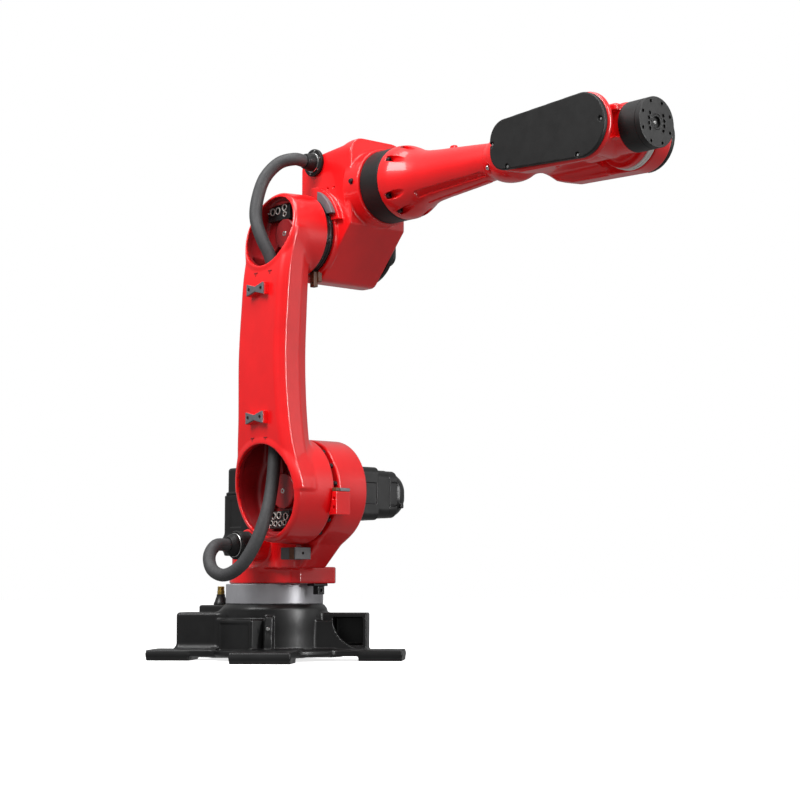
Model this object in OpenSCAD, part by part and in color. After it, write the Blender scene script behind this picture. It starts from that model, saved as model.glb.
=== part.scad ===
/* [Main axes] */
// Height of the shoulder axis above the floor
shoulder_z = 424; // [400:1:450]
// Forward offset of the shoulder axis from the turning axis
shoulder_x = 250; // [240:1:260]
// Length of the lower arm, shoulder axis to elbow axis
arm_len = 644; // [600:1:700]
// Height of the forearm centre line above the elbow axis
elbow_rise = 112; // [108:1:116]
// Length from the elbow axis to the wrist axis
forearm_len = 948; // [930:1:980]
// Length from the wrist axis to the tool face
wrist_len = 127; // [125:1:130]

/* [Base] */
// Position of the turning axis behind the middle of the feet
axis_back = 12; // [8:1:14]
// Distance from the turning axis to the end of each foot
foot_reach = 331; // [310:1:350]
// Width of each foot
foot_w = 151; // [130:1:160]
// Thickness of the foot plate above its pads
foot_t = 16; // [12:1:24]
// Height of the pads under the feet
pad_h = 12; // [8:1:16]
// Radius of the base drum
drum_r = 139; // [136:1:142]
// Top of the base drum
drum_top = 145; // [140:1:150]
// Radius of the floor bolt holes
floor_hole_r = 9; // [7:0.5:11]
// Distance of the floor bolt holes from the turning axis
floor_hole_d = 290; // [270:1:300]

/* [Turntable] */
// Radius of the round reducer ring
ring_r = 127; // [122:1:130]
// Underside of the turntable plate
table_z = 198; // [190:1:205]
// Top of the turntable plate
table_top = 240; // [235:1:246]
// Radius of the turntable plate
table_r = 118; // [114:1:122]
// Radius of the shoulder housing
shoulder_r = 130; // [128:1:132]

/* [Lower arm] */
// Radius of the shoulder end of the lower arm
arm_end_r = 132; // [126:1:134]
// Radius of the elbow end of the lower arm
arm_top_r = 104; // [100:1:106]
// Radius of the opening at the shoulder end
arm_open_r = 113; // [100:1:116]
// Radius of the opening at the elbow end
arm_open2_r = 89; // [80:1:92]

/* [Wrist and tool flange] */
// Radius of the tool flange
flange_r = 56; // [54:0.5:56]
// Pitch circle diameter of the tool bolts
tool_pcd = 94; // [88:1:96]
// Radius of the tool bolt holes
tool_hole_r = 3; // [2:0.5:3.5]
// Outer diameter of the protective hose
hose_d = 32; // [28:1:34]

/* [Hidden] */
$fn = 96;
sx = shoulder_x;
sz = shoulder_z;
ez = sz + arm_len;
fz = ez + elbow_rise;
wx = sx + forearm_len;
tx = wx + wrist_len;
hr = hose_d / 2;
jx = -axis_back;
RED = [0.86, 0.06, 0.06];
BLACK = [0.12, 0.12, 0.13];
GREY = [0.62, 0.63, 0.65];

// Cylinder along +Y from y0 to y1 about the point (x, z)
module ycyl(x, z, r, y0, y1) { translate([x, y0, z]) rotate([-90, 0, 0]) cylinder(r = r, h = y1 - y0); }
// Cylinder along +X from x0 to x1 about the point (y, z)
module xcyl(y, z, r, x0, x1) { translate([x0, y, z]) rotate([0, 90, 0]) cylinder(r = r, h = x1 - x0); }
// Solid of revolution about the line y = 0, z = fz, from [x, r] points
module xturn(pts) { translate([0, 0, fz]) rotate([0, 90, 0]) rotate_extrude() polygon([for (p = pts) [p[1], p[0]]]); }
// Outline in the X-Z plane extruded from y0 to y1
module xzplate(y0, y1) { translate([0, y1, 0]) rotate([90, 0, 0]) linear_extrude(height = y1 - y0) children(); }
// Rectangle with rounded corners, centred
module rrect(w, h, r) {
  union() {
    square([w - 2 * r, h], center = true);
    square([w, h - 2 * r], center = true);
    for (i = [-1, 1], j = [-1, 1]) translate([i * (w / 2 - r), j * (h / 2 - r)]) circle(r = r);
  }
}
// Tube swept along a list of points
function unit(v) = v / norm(v);
function catmull(p, i, t) =
  let (n = len(p), a = p[max(i - 1, 0)], b = p[i], c = p[min(i + 1, n - 1)], d = p[min(i + 2, n - 1)])
  0.5 * ((2 * b) + (c - a) * t + (2 * a - 5 * b + 4 * c - d) * t * t + (3 * b - a - 3 * c + d) * t * t * t);
function route(p, k) = concat([for (i = [0:len(p) - 2]) for (j = [0:k - 1]) catmull(p, i, j / k)], [p[len(p) - 1]]);
function tang(q, i) = unit(q[min(i + 1, len(q) - 1)] - q[max(i - 1, 0)]);
function frames(q, i, n) = i >= len(q) ? [] :
  let (t = tang(q, i), m = unit(n - t * (n * t))) concat([[q[i], m, cross(t, m)]], frames(q, i + 1, m));
module tube(p, r, k, n0, sides = 10) {
  q = route(p, k);
  f = frames(q, 0, n0);
  m = len(f);
  pts = [for (g = f) for (s = [0:sides - 1]) g[0] + r * (cos(360 * s / sides) * g[1] + sin(360 * s / sides) * g[2])];
  polyhedron(points = pts, convexity = 6, faces = concat(
    [[for (s = [0:sides - 1]) s]],
    [for (i = [0:m - 2]) for (s = [0:sides - 1])
      [i * sides + s, (i + 1) * sides + s, (i + 1) * sides + (s + 1) % sides, i * sides + (s + 1) % sides]],
    [[for (s = [sides - 1:-1:0]) (m - 1) * sides + s]]));
}

// Hose routes, from the lower gland to the upper gland
lower_route = [[62, -206, 294], [66, -246, 292], [80, -276, 264], [114, -290, 230], [166, -290, 217], [216, -278, 240],
               [250, -262, 292], [266, -244, 354], [264, -227, 410]];
middle_route = [[264, -226, 413], [258, -212, 480], [252, -204, 560], [250, -202, 660], [250, -202, 780], [250, -203, 880],
                [252, -208, 950], [248, -219, 1002]];
upper_route = [[247, -221, 1006], [232, -236, 1054], [214, -240, 1104], [210, -232, 1156], [216, -214, 1210],
               [236, -186, 1248], [258, -154, 1260], [260, -124, 1259]];

// ---------- base ----------
module foot_bar() {
  for (a = [45, 135]) rotate(a) translate([-foot_reach, -foot_w / 2, pad_h]) cube([2 * foot_reach, foot_w, foot_t]);
}
module base_casting() {
  color(BLACK) difference() {
    union() {
      foot_bar();
      for (a = [45:90:315]) rotate(a) translate([foot_reach - 112, -foot_w / 2, 0]) cube([112, foot_w, pad_h + 2]);
      translate([0, 0, pad_h]) cylinder(r = 172, h = foot_t - 1);
      translate([jx, 0, pad_h + 1]) cylinder(r = drum_r, h = drum_top - pad_h - 1);
      // closed boxes over the rear feet
      rotate(225) translate([60, -58, pad_h + 2]) cube([196, 116, 110]);
      rotate(135) translate([60, -58, pad_h + 2]) cube([196, 116, 110]);
      // boxes over the front feet, with a pocket in the side
      rotate(45) translate([60, -46, pad_h + 2]) cube([178, 92, 109]);
      // rib over the near foot
      rotate(315) translate([60, -14, pad_h + 2]) cube([98, 22, 100]);
      // connector housing at the back
      translate([-250, -74, pad_h + 3]) cube([180, 148, 126]);
      // flat bosses on both sides
      translate([-66, -147, pad_h + 4]) cube([154, 60, 90]);
      translate([-66, 87, pad_h + 4]) cube([154, 60, 90]);
      // thin curved web beside the front box
      rotate(45) translate([110, -70, foot_t + pad_h - 6]) rotate([90, 0, 0]) mirror([0, 0, 1])
        linear_extrude(height = 11) difference() {
          square([124, 76]);
          translate([118, 86]) circle(r = 78);
        }
    }
    // pocket in the side of the front box
    rotate(45) translate([150, -64, 40]) cube([77, 96, 68]);
    // floor bolt holes
    for (a = [45:90:315]) rotate(a) translate([floor_hole_d, 0, -1]) cylinder(r = floor_hole_r, h = 40);
    // shallow recess under the drum
    translate([jx, 0, -1]) cylinder(r = 112, h = 21);
  }
}
module rear_panel() {
  color(GREY) translate([-256, -66, 28]) cube([6, 132, 102]);
}
module rear_connectors() {
  color(BLACK) for (y = [-34, 34]) {
    xcyl(y, 78, 24, -268, -256);
    xcyl(y, 78, 20, -288, -268);
  }
}
module brass_fitting() {
  color([0.62, 0.5, 0.22]) translate([-198, -38, 141]) { cylinder(r1 = 16, r2 = 11, h = 22); translate([0, 0, 22]) cylinder(r = 9, h = 30); }
}
module j1_reducer_ring() {
  color(GREY) difference() {
    translate([jx, 0, drum_top]) cylinder(r = ring_r, h = table_z - drum_top - 1);
    translate([jx, 0, drum_top - 1]) cylinder(r = 70, h = 80);
  }
}

// ---------- turntable ----------
module table_outline() {
  union() {
    translate([jx, 0]) circle(r = table_r);
    polygon([[40, -74], [150, -74], [168, -57], [168, 57], [150, 74], [40, 74]]);
    translate([-100, 0]) circle(r = 58);
  }
}
module turntable_casting() {
  color(RED) difference() {
    union() {
      translate([0, 0, table_z]) linear_extrude(height = table_top - table_z) table_outline();
      // shoulder housing
      ycyl(sx, sz, shoulder_r, -106, -14);
      // upright leg of the shoulder
      xzplate(-100, -14) polygon([[-70, table_top - 2], [221, table_top - 2], [359, 358], [sx, sz], [sx - 130, sz + 8]]);
      // cross wall behind the shoulder
      translate([-20, -60, table_top - 2]) cube([60, 120, 60]);
      // boss that carries the hose gland
      ycyl(60, 294, 38, -106, -40);
      translate([28, -104, table_top - 2]) cube([64, 80, 56]);
      // seat of the vertical motor
      translate([-100, 0, table_top - 2]) cylinder(r = 56, h = 34);
    }
    ycyl(sx, sz, 60, -110, -60);
  }
}
module j1_motor() {
  color(BLACK) translate([-106, 0, 272]) {
    linear_extrude(height = 14) rrect(126, 126, 26);
    translate([0, 0, 14]) linear_extrude(height = 146) rrect(120, 120, 18);
  }
}
module j1_motor_cap() {
  color(BLACK) translate([-106, 0, 432]) {
    linear_extrude(height = 66) rrect(110, 110, 18);
    translate([0, 0, 66]) linear_extrude(height = 8) rrect(98, 98, 16);
  }
}
module j1_stop_block() {
  color(BLACK) {
    translate([132, -6, table_z - 7]) cube([28, 46, 7]);
    translate([136, 10, table_z - 28]) cube([20, 22, 22]);
  }
}
module j2_reducer_ring() {
  color(BLACK) difference() { ycyl(sx, sz, 124, -118.5, -106); ycyl(sx, sz, 60, -120, -100); }
}
module j2_motor() {
  color(BLACK) union() {
    ycyl(sx, sz, 88, -14, 6);
    translate([sx, 6, sz]) rotate([-90, 0, 0]) linear_extrude(height = 18) rrect(134, 134, 14);
    translate([sx, 24, sz]) rotate([-90, 0, 0]) linear_extrude(height = 96) rrect(124, 124, 18);
  }
}
module j2_motor_cap() {
  color(BLACK) union() {
    translate([sx, 120, sz]) rotate([-90, 0, 0]) linear_extrude(height = 54) rrect(118, 118, 30);
    translate([sx, 174, sz]) rotate([-90, 0, 0]) linear_extrude(height = 7) rrect(96, 96, 24);
  }
}
module j2_stop_block() {
  color(RED) difference() {
    translate([352, -137, sz - 62]) cube([50, 50, 66]);
    ycyl(sx, sz, arm_end_r + 5.5, -140, -106);
    ycyl(sx, sz, shoulder_r + 0.1, -107, -60);
  }
}
module j2_bumper() {
  color(GREY) translate([206, -150, 256]) cube([60, 50, 30]);
}
module lower_gland() {
  color(BLACK) difference() {
    union() { ycyl(60, 294, 36, -186, -106); ycyl(60, 294, 30, -196, -186); }
    ycyl(60, 294, hr - 1, -197, -150);
  }
}
module lower_gland_ring() {
  color(GREY) difference() { ycyl(60, 294, 27, -204.4, -196); ycyl(60, 294, hr - 1, -207, -195); }
}
module hose_lower() { color(BLACK) tube(lower_route, hr, 3, [1, 0, 0]); }

// ---------- lower arm ----------
// Side outline of the lower arm in the X-Z plane, drawn in by m
module arm_outline(m = 0) {
  union() {
    translate([sx, sz]) circle(r = arm_end_r - m);
    translate([sx, ez]) circle(r = arm_top_r - m);
    polygon([[sx - 131 + m, sz + 10], [sx - 108 + m, sz + 92], [sx - 96 + m, sz + 170], [sx - 95 + m, ez - 210], [sx - 92 + m, ez - 70],
             [sx - 90 + m, ez + 20], [sx + 90 - m, ez + 20], [sx + 92 - m, ez - 70], [sx + 95 - m, ez - 210], [sx + 98 - m, sz + 170],
             [sx + 112 - m, sz + 92], [sx + 131 - m, sz + 10]]);
  }
}
// Section of the lower arm in the Y-Z plane: outer face bowed, inner face stepped between the hubs
module arm_section() {
  polygon([[-119, sz - 140], [-212, sz - 140], [-222, sz - 90], [-236, sz], [-250, sz + 120], [-254, sz + 210], [-254, ez - 210],
           [-248, ez - 90], [-230, ez], [-212, ez + 60], [-192, ez + 112], [-119, ez + 112], [-119, ez - 112], [-138, ez - 150],
           [-138, sz + 180], [-119, sz + 140]]);
}
// Cross-section of the middle of the lower arm in the X-Y plane
module arm_mid_section() {
  polygon([[sx - 100, -238], [sx - 84, -254], [sx + 80, -254], [sx + 99, -236], [sx + 90, -190], [sx + 66, -152], [sx + 36, -138],
           [sx - 66, -138], [sx - 92, -160]]);
}
module lower_arm_casting() {
  color(RED) difference() {
    intersection() {
      union() {
        ycyl(sx, sz, arm_end_r, -260, -119);
        ycyl(sx, ez, arm_top_r, -260, -119);
        intersection() {
          xzplate(-260, -110) arm_outline();
          translate([0, 0, sz]) linear_extrude(height = arm_len) arm_mid_section();
        }
        intersection() {
          xzplate(-260, -110) arm_outline();
          union() {
            translate([sx - 140, -260, sz - 140]) cube([280, 98, 300]);
            translate([sx - 140, -260, ez - 150]) cube([280, 98, 300]);
          }
        }
      }
      rotate([90, 0, 90]) linear_extrude(height = 600) arm_section();
    }
    // hollow for the hose, open to both round openings
    intersection() {
      xzplate(-242, -164) arm_outline(16);
      rotate([90, 0, 90]) linear_extrude(height = 600)
        polygon([[-164, sz - 96], [-206, sz - 96], [-224, sz], [-238, sz + 120], [-241, sz + 210], [-241, ez - 210], [-236, ez - 90],
                 [-218, ez], [-200, ez + 70], [-164, ez + 70]]);
    }
    ycyl(sx, sz, arm_open_r, -262, -186);
    ycyl(sx, ez, arm_open2_r, -262, -186);
    ycyl(sx, sz, 40, -190, -110);
    ycyl(sx, ez, 34, -190, -110);
  }
}
module arm_pads() {
  color(GREY) for (z = [600, 918]) translate([256, -254, z]) rotate([90, 0, 0]) linear_extrude(height = 16) union() {
    for (s = [-1, 1]) translate([s * 24, 0]) square([24, 30], center = true);
    square([50, 14], center = true);
  }
}
module lower_cable_plate() {
  color([0.2, 0.2, 0.2]) difference() {
    translate([sx - 50, -178, sz - 92]) cube([88, 14, 46]);
    for (i = [-1, 0, 1]) ycyl(sx + 24 * i - 6, sz - 60, 8, -190, -160);
  }
}
module upper_cable_plate() {
  color([0.2, 0.2, 0.2]) difference() {
    translate([sx - 56, -178, ez + 31]) cube([86, 14, 32]);
    for (i = [-1, 0, 1]) ycyl(sx + 24 * i - 13, ez + 48, 8, -190, -160);
  }
}
module j3_reducer_ring() {
  color(BLACK) difference() { ycyl(sx, ez, 96, -118.7, -97); ycyl(sx, ez, 40, -120, -90); }
}
module hose_middle() { color(BLACK) tube(middle_route, hr, 2, [1, 0, 0]); }

// ---------- elbow ----------
module elbow_outline() {
  union() {
    translate([sx, ez]) circle(r = 117);
    polygon([[207, ez], [207, ez + 188], [226, ez + 203], [366, ez + 222], [376, ez + 238], [400, ez + 238], [400, ez + 7], [275, ez - 117], [sx, ez - 117]]);
  }
}
module elbow_housing() {
  color(RED) union() {
    intersection() {
      xzplate(-89, 92) elbow_outline();
      // rounded top corners of the front flange
      union() {
        translate([100, -95, ez - 130]) cube([400, 200, 320]);
        translate([100, 1, ez + 180]) rotate([0, 90, 0]) linear_extrude(height = 320) rrect(120, 182, 44);
      }
    }
    ycyl(sx, ez, 106, -96, -80);
    // raised arc that carries the elbow stop
    intersection() {
      difference() { ycyl(sx, ez, 121, -101, -80); ycyl(sx, ez, 100, -110, -90); }
      translate([sx, -110, ez + 34]) cube([130, 60, 100]);
    }
    xcyl(0, fz, 96, 390, 438);
  }
}
module j3_motor() {
  color(BLACK) union() {
    ycyl(sx, ez, 102, 92, 104);
    translate([sx, 104, ez]) rotate([-90, 0, 0]) linear_extrude(height = 26) rrect(112, 112, 16);
  }
}
module j3_motor_cap() {
  color(BLACK) translate([sx, 130, ez]) rotate([-90, 0, 0]) linear_extrude(height = 24) rrect(100, 100, 22);
}
module j3_stop_block() {
  color(GREY) intersection() {
    difference() { ycyl(sx, ez, 119, -114, -101); ycyl(sx, ez, 98, -120, -90); }
    translate([sx + 50, -120, ez + 46]) cube([80, 40, 66]);
  }
}
module elbow_rear_cover() {
  color(RED) translate([199, -64, ez + 112]) cube([8, 128, 70]);
}
module upper_gland() {
  color(BLACK) difference() {
    union() { ycyl(260, ez + 191, 33, -97, -89); ycyl(260, ez + 191, 24, -114, -97); }
    ycyl(260, ez + 191, hr - 1, -115, -93);
  }
}
module upper_gland_ring() {
  color(GREY) difference() { ycyl(260, ez + 191, 22, -123, -114); ycyl(260, ez + 191, hr - 1, -125, -113); }
}
module hose_upper() { color(BLACK) tube(upper_route, hr, 3, [1, 0, 0]); }

// ---------- forearm ----------
module j4_band() { color(BLACK) xturn([[438.4, 0], [438.4, 91], [504, 91], [504, 0]]); }
module forearm_tube() {
  color(RED) xturn([[504, 91], [522, 91], [548, 84], [575, 72], [600, 65], [633, 61], [770, 48.5], [825, 43], [825, 32], [504, 32]]);
}
// Side outline of the wrist fork in the X-Z plane
module fork_outline() {
  union() {
    translate([wx, fz]) circle(r = 75);
    polygon([[825, fz - 42], [852, fz - 54], [884, fz - 59], [935, fz - 52], [983, fz - 64], [wx, fz - 74.9], [wx, fz + 74.9], [983, fz + 64], [935, fz + 52],
             [884, fz + 59], [852, fz + 54], [825, fz + 42]]);
  }
}
module wrist_fork() {
  color(RED) difference() {
    intersection() {
      xzplate(-120, 120) fork_outline();
      // plan outline
      translate([0, 0, fz - 130]) linear_extrude(height = 260)
        polygon([[824, -42], [866, -60], [906, -84], [930, -88], [1300, -88], [1300, 108], [966, 108], [930, 98], [890, 66], [824, 42]]);
    }
    translate([1096, -62, fz - 120]) cube([220, 131, 240]);
    // room for the belts under the two covers
    xzplate(-90, -70) offset(delta = -14) cover_outline();
    xzplate(84, 110) offset(delta = -14) cover_outline();
    translate([918, -75, fz - 40]) cube([160, 165, 80]);
  }
}
module cover_outline() {
  union() {
    translate([wx, fz]) circle(r = 72);
    polygon([[954, fz - 57], [wx, fz - 71.9], [wx, fz + 71.9], [954, fz + 57], [930, fz + 47], [916, fz + 25], [916, fz - 25], [930, fz - 47]]);
  }
}
module near_cover() { color(BLACK) xzplate(-100, -88) cover_outline(); }
module far_cover() { color(BLACK) xzplate(108, 120) cover_outline(); }

// ---------- wrist ----------
module wrist_body() {
  color(RED) difference() {
    union() {
      ycyl(wx, fz, 73, 33, 48);
      ycyl(wx, fz, 48, -56, 34);
      translate([wx - 10, -46, fz - 43]) cube([72, 92, 86]);
      xcyl(0, fz, 47.5, wx + 20, 1262);
    }
    translate([1262, -80, fz - 80]) cube([40, 160, 160]);
  }
}
module j5_ring() {
  color(GREY) difference() {
    ycyl(wx, fz, 75, 48, 64);
    translate([1262, 40, fz - 80]) cube([40, 40, 160]);
  }
}
module j6_housing() { color(BLACK) xcyl(0, fz, 56, 1262, 1310); }
module tool_flange() {
  color(BLACK) difference() {
    xcyl(0, fz, flange_r, 1310.4, tx);
    for (i = [0:7]) translate([0, 0, fz]) rotate([i * 45 + 22.5, 0, 0]) translate([1312, 0, tool_pcd / 2]) rotate([0, 90, 0]) cylinder(r = tool_hole_r, h = 20, $fn = 32);
    xcyl(0, fz, 12.5, 1317, tx + 1);
  }
}

base_casting();
rear_panel();
rear_connectors();
brass_fitting();
j1_reducer_ring();
turntable_casting();
j1_motor();
j1_motor_cap();
j1_stop_block();
j2_reducer_ring();
j2_motor();
j2_motor_cap();
j2_stop_block();
j2_bumper();
lower_gland();
lower_gland_ring();
hose_lower();
lower_arm_casting();
arm_pads();
lower_cable_plate();
upper_cable_plate();
j3_reducer_ring();
hose_middle();
elbow_housing();
j3_motor();
j3_motor_cap();
j3_stop_block();
elbow_rear_cover();
upper_gland();
upper_gland_ring();
hose_upper();
j4_band();
forearm_tube();
wrist_fork();
near_cover();
far_cover();
wrist_body();
j5_ring();
j6_housing();
tool_flange();
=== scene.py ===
import math

import bpy
import numpy as np
from mathutils import Matrix, Vector


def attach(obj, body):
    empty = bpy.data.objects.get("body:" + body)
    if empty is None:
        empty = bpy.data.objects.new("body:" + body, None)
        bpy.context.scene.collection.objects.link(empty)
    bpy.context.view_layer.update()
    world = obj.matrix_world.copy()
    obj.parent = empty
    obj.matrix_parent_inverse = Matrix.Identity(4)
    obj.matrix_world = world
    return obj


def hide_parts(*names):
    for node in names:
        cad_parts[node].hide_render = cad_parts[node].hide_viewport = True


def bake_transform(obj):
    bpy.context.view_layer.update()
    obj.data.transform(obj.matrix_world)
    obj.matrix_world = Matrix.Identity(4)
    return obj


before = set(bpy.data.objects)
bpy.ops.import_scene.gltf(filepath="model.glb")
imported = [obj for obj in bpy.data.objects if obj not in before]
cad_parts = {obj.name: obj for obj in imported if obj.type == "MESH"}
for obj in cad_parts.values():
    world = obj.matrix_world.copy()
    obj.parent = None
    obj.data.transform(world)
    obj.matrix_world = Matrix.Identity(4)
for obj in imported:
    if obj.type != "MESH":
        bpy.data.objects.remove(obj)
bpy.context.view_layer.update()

# ---------------------------------------------------------------- main axes, millimetres
SX, SZ = 250.0, 424.0
EZ = 1068.0
FZ = 1180.0
WX = 1198.0
TX = 1325.0
JX = -12.0

# ---------------------------------------------------------------- signed distances


def hyp(a, b):
    return np.sqrt(a * a + b * b)


def ru(a, b, r):
    """union with a fillet of radius r"""
    return np.maximum(r, np.minimum(a, b)) - hyp(np.maximum(r - a, 0), np.maximum(r - b, 0))


def ri(a, b, r):
    """intersection with a rounded edge of radius r"""
    return np.minimum(-r, np.maximum(a, b)) + hyp(np.maximum(r + a, 0), np.maximum(r + b, 0))


def rs(a, b, r):
    """a less b, with a rounded edge of radius r"""
    return ri(a, -b, r)


def box(x, y, z, lo, hi, r=0.0):
    qx = np.abs(x - (lo[0] + hi[0]) / 2) - (hi[0] - lo[0]) / 2 + r
    qy = np.abs(y - (lo[1] + hi[1]) / 2) - (hi[1] - lo[1]) / 2 + r
    qz = np.abs(z - (lo[2] + hi[2]) / 2) - (hi[2] - lo[2]) / 2 + r
    out = np.sqrt(np.maximum(qx, 0) ** 2 + np.maximum(qy, 0) ** 2 + np.maximum(qz, 0) ** 2)
    return out + np.minimum(np.maximum(qx, np.maximum(qy, qz)), 0) - r


def span(v, a, b):
    return np.abs(v - (a + b) / 2) - (b - a) / 2


def cy(x, y, z, cx0, cz0, rad, y0, y1, r=2.0):
    return ri(hyp(x - cx0, z - cz0) - rad, span(y, y0, y1), r)


def cx(x, y, z, cy0, cz0, rad, x0, x1, r=2.0):
    return ri(hyp(y - cy0, z - cz0) - rad, span(x, x0, x1), r)


def cz(x, y, z, cx0, cy0, rad, z0, z1, r=2.0):
    return ri(hyp(x - cx0, y - cy0) - rad, span(z, z0, z1), r)


def rrect(u, v, w, h, r):
    qu = np.abs(u) - w / 2 + r
    qv = np.abs(v) - h / 2 + r
    return hyp(np.maximum(qu, 0), np.maximum(qv, 0)) + np.minimum(np.maximum(qu, qv), 0) - r


def poly(u, v, pts):
    """exact signed distance to a closed outline"""
    pts = np.asarray(pts, np.float64)
    best, sign = None, None
    n = len(pts)
    for i in range(n):
        a, b = pts[i], pts[(i + 1) % n]
        e = b - a
        wu, wv = u - a[0], v - a[1]
        t = np.clip((wu * e[0] + wv * e[1]) / (e @ e), 0, 1)
        d = (wu - e[0] * t) ** 2 + (wv - e[1] * t) ** 2
        c1, c2, c3 = v >= a[1], v < b[1], e[0] * wv > e[1] * wu
        flip = (c1 & c2 & c3) | (~c1 & ~c2 & ~c3)
        s = np.where(flip, -1.0, 1.0)
        best = d if best is None else np.minimum(best, d)
        sign = s if sign is None else sign * s
    return sign * np.sqrt(best)


def soft(pts, steps=6):
    """outline of (u, v, radius) corners, each corner turned into an arc"""
    out = []
    n = len(pts)
    for i in range(n):
        p = np.array(pts[i][:2], float)
        r = pts[i][2]
        a = np.array(pts[i - 1][:2], float) - p
        b = np.array(pts[(i + 1) % n][:2], float) - p
        la, lb = np.linalg.norm(a), np.linalg.norm(b)
        a, b = a / la, b / lb
        ang = math.acos(float(np.clip(a @ b, -1, 1)))
        if r <= 0 or ang > math.pi - 0.02:
            out.append(p)
            continue
        t = min(r / math.tan(ang / 2), 0.49 * la, 0.49 * lb)
        r = t * math.tan(ang / 2)
        mid = a + b
        c = p + mid / np.linalg.norm(mid) * r / math.sin(ang / 2)
        s, e = p + a * t - c, p + b * t - c
        full = math.acos(float(np.clip((s @ e) / (r * r), -1, 1)))
        for k in range(steps + 1):
            f = k / steps
            w = (math.sin((1 - f) * full) * s + math.sin(f * full) * e) / math.sin(full)
            out.append(c + w)
    return np.array(out)


def curve(t, keys):
    """smooth value along t through (t, value) keys"""
    k = np.array(keys, float)
    x, y = k[:, 0], k[:, 1]
    m = np.gradient(y, x)
    i = np.clip(np.searchsorted(x, t, side="right") - 1, 0, len(x) - 2)
    h = x[i + 1] - x[i]
    f = np.clip((t - x[i]) / h, 0, 1)
    f2, f3 = f * f, f * f * f
    return (2 * f3 - 3 * f2 + 1) * y[i] + (f3 - 2 * f2 + f) * h * m[i] + (3 * f2 - 2 * f3) * y[i + 1] + (f3 - f2) * h * m[i + 1]


def turned(x, y, z, a):
    c, s = math.cos(math.radians(a)), math.sin(math.radians(a))
    return x * c + y * s, -x * s + y * c, z


# ---------------------------------------------------------------- from distance field to mesh
CORNERS = [(i, j, k) for i in (0, 1) for j in (0, 1) for k in (0, 1)]
EDGES = [(a, b) for a in CORNERS for b in CORNERS if sum(b) - sum(a) == 1 and sum(abs(np.subtract(a, b))) == 1]


def slope(f, v, e):
    g = np.empty_like(v)
    for i in range(3):
        p, q = v.copy(), v.copy()
        p[:, i] += e
        q[:, i] -= e
        g[:, i] = (f(p[:, 0], p[:, 1], p[:, 2]) - f(q[:, 0], q[:, 1], q[:, 2])) / (2 * e)
    return g


def net(f, lo, hi, pitch):
    """closed quad mesh of the zero surface of f inside the box, vertices moved onto it, with its normals"""
    lo, hi = np.array(lo, float) + 0.0137 * pitch, np.array(hi, float)
    n = np.ceil((hi - lo) / pitch).astype(int) + 1
    g = [lo[i] + pitch * np.arange(n[i]) for i in range(3)]
    d = np.empty(n, np.float32)
    step = max(1, int(1.5e6 / (n[1] * n[2])))
    for s in range(0, n[0], step):
        d[s:s + step] = np.broadcast_to(
            f(g[0][s:s + step, None, None], g[1][None, :, None], g[2][None, None, :]), (len(g[0][s:s + step]), n[1], n[2]))
    d = np.where(np.abs(d) < 1e-5, 1e-5, d)
    neg = d < 0
    tot = np.zeros(n - 1, np.int8)
    for a in CORNERS:
        tot += neg[a[0]:a[0] + n[0] - 1, a[1]:a[1] + n[1] - 1, a[2]:a[2] + n[2] - 1]
    live = (tot > 0) & (tot < 8)
    cells = np.argwhere(live)
    index = np.full(n - 1, -1, np.int64)
    index[live] = np.arange(len(cells))
    acc, cnt = np.zeros((len(cells), 3)), np.zeros(len(cells))
    for a, b in EDGES:
        ca, cb = cells + a, cells + b
        da = d[ca[:, 0], ca[:, 1], ca[:, 2]].astype(float)
        db = d[cb[:, 0], cb[:, 1], cb[:, 2]].astype(float)
        m = (da < 0) != (db < 0)
        t = np.where(m, da / np.where(m, da - db, 1), 0)
        p = np.array(a, float) + t[:, None] * (np.array(b, float) - np.array(a, float))
        acc[m] += p[m]
        cnt[m] += 1
    v = lo + pitch * (cells + acc / cnt[:, None])
    quads = []
    for ax in range(3):
        o1, o2 = [(1, 2), (2, 0), (0, 1)][ax]
        sl0, sl1 = [slice(None)] * 3, [slice(None)] * 3
        sl0[ax], sl1[ax] = slice(0, n[ax] - 1), slice(1, n[ax])
        a, b = neg[tuple(sl0)], neg[tuple(sl1)]
        e = np.argwhere(a != b)
        ok = (e[:, o1] > 0) & (e[:, o2] > 0) & (e[:, o1] < n[o1] - 1) & (e[:, o2] < n[o2] - 1)
        e = e[ok]
        inside = a[e[:, 0], e[:, 1], e[:, 2]]
        u1, u2 = np.zeros(3, int), np.zeros(3, int)
        u1[o1], u2[o2] = 1, 1
        c = [e - u1 - u2, e - u2, e, e - u1]
        q = np.stack([index[k[:, 0], k[:, 1], k[:, 2]] for k in c], 1)
        q[~inside] = q[~inside][:, ::-1]
        quads.append(q)
    quads = np.concatenate(quads)
    start = v.copy()
    for _ in range(3):
        val = f(v[:, 0], v[:, 1], v[:, 2])
        gr = slope(f, v, 0.05 * pitch)
        l2 = np.maximum((gr * gr).sum(1), 0.05)
        mv = -(val / l2)[:, None] * gr
        ln = np.linalg.norm(mv, axis=1)
        mv *= np.minimum(1, 0.5 * pitch / np.maximum(ln, 1e-9))[:, None]
        v = v + mv
    off = v - start
    ln = np.linalg.norm(off, axis=1)
    v = start + off * np.minimum(1, 0.9 * pitch / np.maximum(ln, 1e-9))[:, None]
    gr = slope(f, v, 0.12 * pitch)
    nor = gr / np.maximum(np.linalg.norm(gr, axis=1), 1e-9)[:, None]
    return v, quads, nor


PIECES = []


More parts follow.
